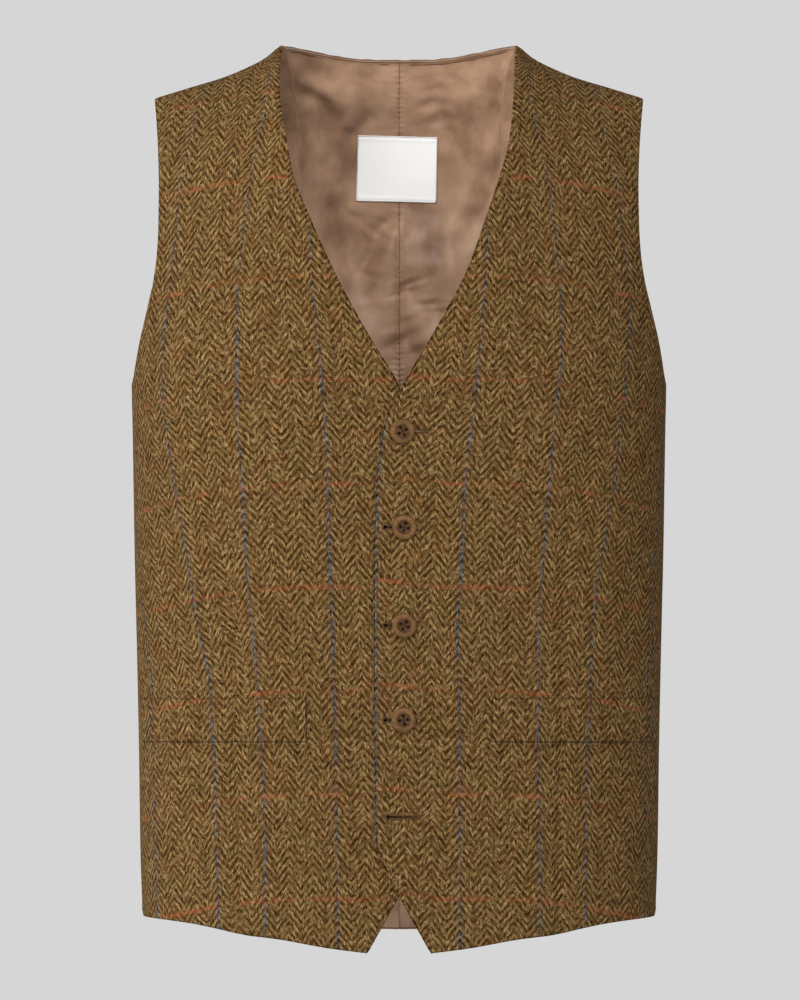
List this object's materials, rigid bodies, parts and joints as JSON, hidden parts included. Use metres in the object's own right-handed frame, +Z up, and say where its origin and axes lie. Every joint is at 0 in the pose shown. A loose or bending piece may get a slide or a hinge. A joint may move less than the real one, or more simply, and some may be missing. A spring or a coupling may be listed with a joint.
{
  "type": "suit waistcoat, filled out as if worn",
  "caption": "Single-breasted V-neck suit waistcoat in herringbone tweed with a satin back, welt pockets and a pointed front hem, hollow as if worn.",
  "frame": {"origin": "midway between the shoulders, at the height of the middle of a shoulder seam, where the wearer's shoulders hold the garment", "axes": "+Z up, -Y towards the garment's front, +X towards the wearer's left side, which buttons over"},
  "size_m": [0.374, 0.2303, 0.6317],
  "materials": {
    "tweed": "brown and ochre wool herringbone tweed with a blue and rust windowpane check, matt and slightly hairy",
    "back_satin": "taupe-brown lining satin, soft sheen",
    "lining_satin": "taupe-brown lining satin, soft sheen, lightly creased",
    "label_tape": "white woven satin tape, bare",
    "button_horn": "brown polished polyester in imitation of horn"
  },
  "bodies": {
    "root": {"front_left": "tweed", "front_right": "tweed", "welt_left": "tweed", "welt_right": "tweed", "back_left": "back_satin", "back_right": "back_satin", "back_lining_left": "lining_satin", "back_lining_right": "lining_satin", "label": "label_tape", "button_1": "button_horn", "button_2": "button_horn", "button_3": "button_horn", "button_4": "button_horn"}
  },
  "joints": []
}
